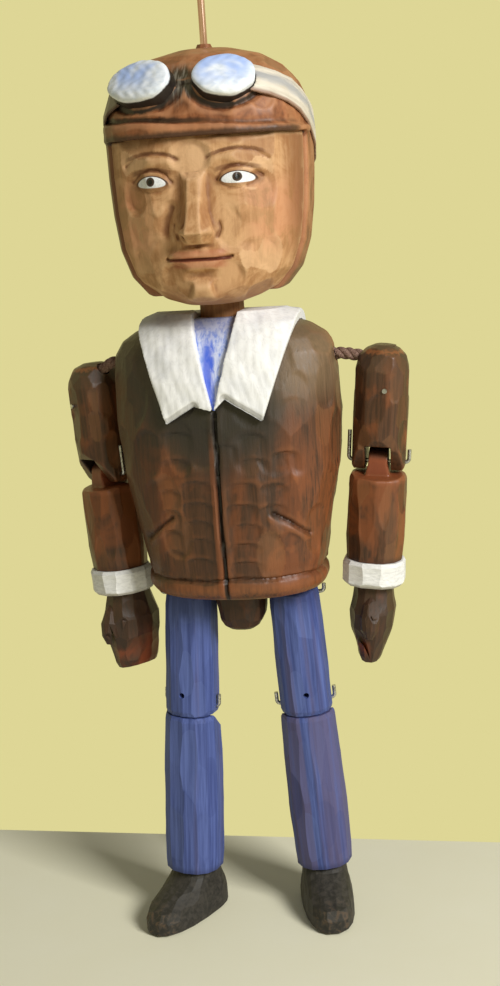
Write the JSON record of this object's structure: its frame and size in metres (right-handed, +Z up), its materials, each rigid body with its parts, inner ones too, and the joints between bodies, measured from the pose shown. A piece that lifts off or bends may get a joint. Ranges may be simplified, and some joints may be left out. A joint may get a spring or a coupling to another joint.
{
  "type": "marionette",
  "caption": "Carved and painted wooden marionette of an aviator, jointed at neck, shoulders, elbows, hips and knees and carried by a steel rod through its head.",
  "frame": {"origin": "middle of the upper end of the head rod", "axes": "+Z up along the rod, the figure faces -Y, and its own left side is +X"},
  "size_m": [0.1783, 0.1076, 0.5892],
  "materials": {
    "steel": "satin",
    "bare_wood": "matt",
    "face_wood": "matt",
    "cap_brown": "matt stain",
    "goggle_white": "matt paint",
    "strap_grey": "matt paint",
    "jacket_brown": "matt stain",
    "collar_white": "matt paint",
    "shirt_blue": "matt paint",
    "cord_brown": "rough",
    "glove_brown": "matt stain",
    "trouser_blue": "matt stain",
    "shoe_black": "matt paint"
  },
  "bodies": {
    "rod": {"head_rod": "steel", "rod_washer": "steel"},
    "head": {"head": "face_wood", "cap": "cap_brown", "cap_button": "cap_brown", "goggle_lenses": "goggle_white", "goggle_strap": "strap_grey", "neck": "face_wood"},
    "torso": {"torso": "jacket_brown", "collar": "collar_white", "shirt": "shirt_blue", "pelvis": "jacket_brown", "neck_pin": "steel", "shoulder_cord": "cord_brown", "hip_pin": "steel"},
    "left_shoulder": {"left_cord_end": "cord_brown"},
    "left_upper_arm": {"left_upper_arm": "jacket_brown", "left_cord_brad": "steel", "left_elbow_pin": "steel"},
    "left_forearm": {"left_forearm": "jacket_brown", "left_cuff": "collar_white", "left_wrist_peg": "bare_wood", "left_hand": "glove_brown"},
    "left_thigh": {"left_thigh": "trouser_blue", "left_knee_pin": "steel"},
    "left_shin": {"left_shin": "trouser_blue", "left_ankle_peg": "bare_wood", "left_shoe": "shoe_black"},
    "right_shoulder": {"right_cord_end": "cord_brown"},
    "right_upper_arm": {"right_upper_arm": "jacket_brown", "right_cord_brad": "steel", "right_elbow_pin": "steel"},
    "right_forearm": {"right_forearm": "jacket_brown", "right_cuff": "collar_white", "right_wrist_peg": "bare_wood", "right_hand": "glove_brown"},
    "right_thigh": {"right_thigh": "trouser_blue", "right_knee_pin": "steel"},
    "right_shin": {"right_shin": "trouser_blue", "right_ankle_peg": "bare_wood", "right_shoe": "shoe_black"}
  },
  "joints": [
    {"name": "head_turn", "type": "hinge", "parent": "rod", "child": "head", "pos_m": [0, 0, -0.2675], "axis": [0, 0, 1], "range_deg": [-70, 70]},
    {"name": "torso_nod", "type": "hinge", "parent": "rod", "child": "torso", "pos_m": [0, 0, -0.2755], "axis": [-1, 0, 0], "range_deg": [-8, 8]},
    {"name": "left_shoulder_lift", "type": "hinge", "parent": "torso", "child": "left_shoulder", "pos_m": [0.0595, 0, -0.288], "axis": [0, -1, 0], "range_deg": [0, 80]},
    {"name": "left_shoulder_swing", "type": "hinge", "parent": "left_shoulder", "child": "left_upper_arm", "pos_m": [0.07895, 0, -0.29143], "axis": [0.9848, 0, -0.1736], "range_deg": [-150, 60]},
    {"name": "left_elbow", "type": "hinge", "parent": "left_upper_arm", "child": "left_forearm", "pos_m": [0.07446, 0, -0.34273], "axis": [0.9962, 0, -0.0872], "range_deg": [-65, 0]},
    {"name": "left_hip", "type": "hinge", "parent": "torso", "child": "left_thigh", "pos_m": [0.0272, 0, -0.4105], "axis": [1, 0, 0], "range_deg": [-64, 50]},
    {"name": "left_knee", "type": "hinge", "parent": "left_thigh", "child": "left_shin", "pos_m": [0.02997, 0.00266, -0.47138], "axis": [0.9771, 0.2058, 0.0534], "range_deg": [0, 90]},
    {"name": "right_shoulder_lift", "type": "hinge", "parent": "torso", "child": "right_shoulder", "pos_m": [-0.0595, 0, -0.288], "axis": [-0.6428, -0.766, 0], "range_deg": [-80, 0]},
    {"name": "right_shoulder_swing", "type": "hinge", "parent": "right_shoulder", "child": "right_upper_arm", "pos_m": [-0.07252, 0.01092, -0.29592], "axis": [-0.6943, 0.5826, -0.4226], "range_deg": [0, 150]},
    {"name": "right_elbow", "type": "hinge", "parent": "right_upper_arm", "child": "right_forearm", "pos_m": [-0.06908, 0.00804, -0.34723], "axis": [-0.7631, 0.6403, -0.0872], "range_deg": [0, 65]},
    {"name": "right_hip", "type": "hinge", "parent": "torso", "child": "right_thigh", "pos_m": [-0.0272, 0, -0.4105], "axis": [-1, 0, 0], "range_deg": [-50, 64]},
    {"name": "right_knee", "type": "hinge", "parent": "right_thigh", "child": "right_shin", "pos_m": [-0.0305, -0.00159, -0.47139], "axis": [-0.9767, 0.2092, 0.0474], "range_deg": [-90, 0]}
  ]
}
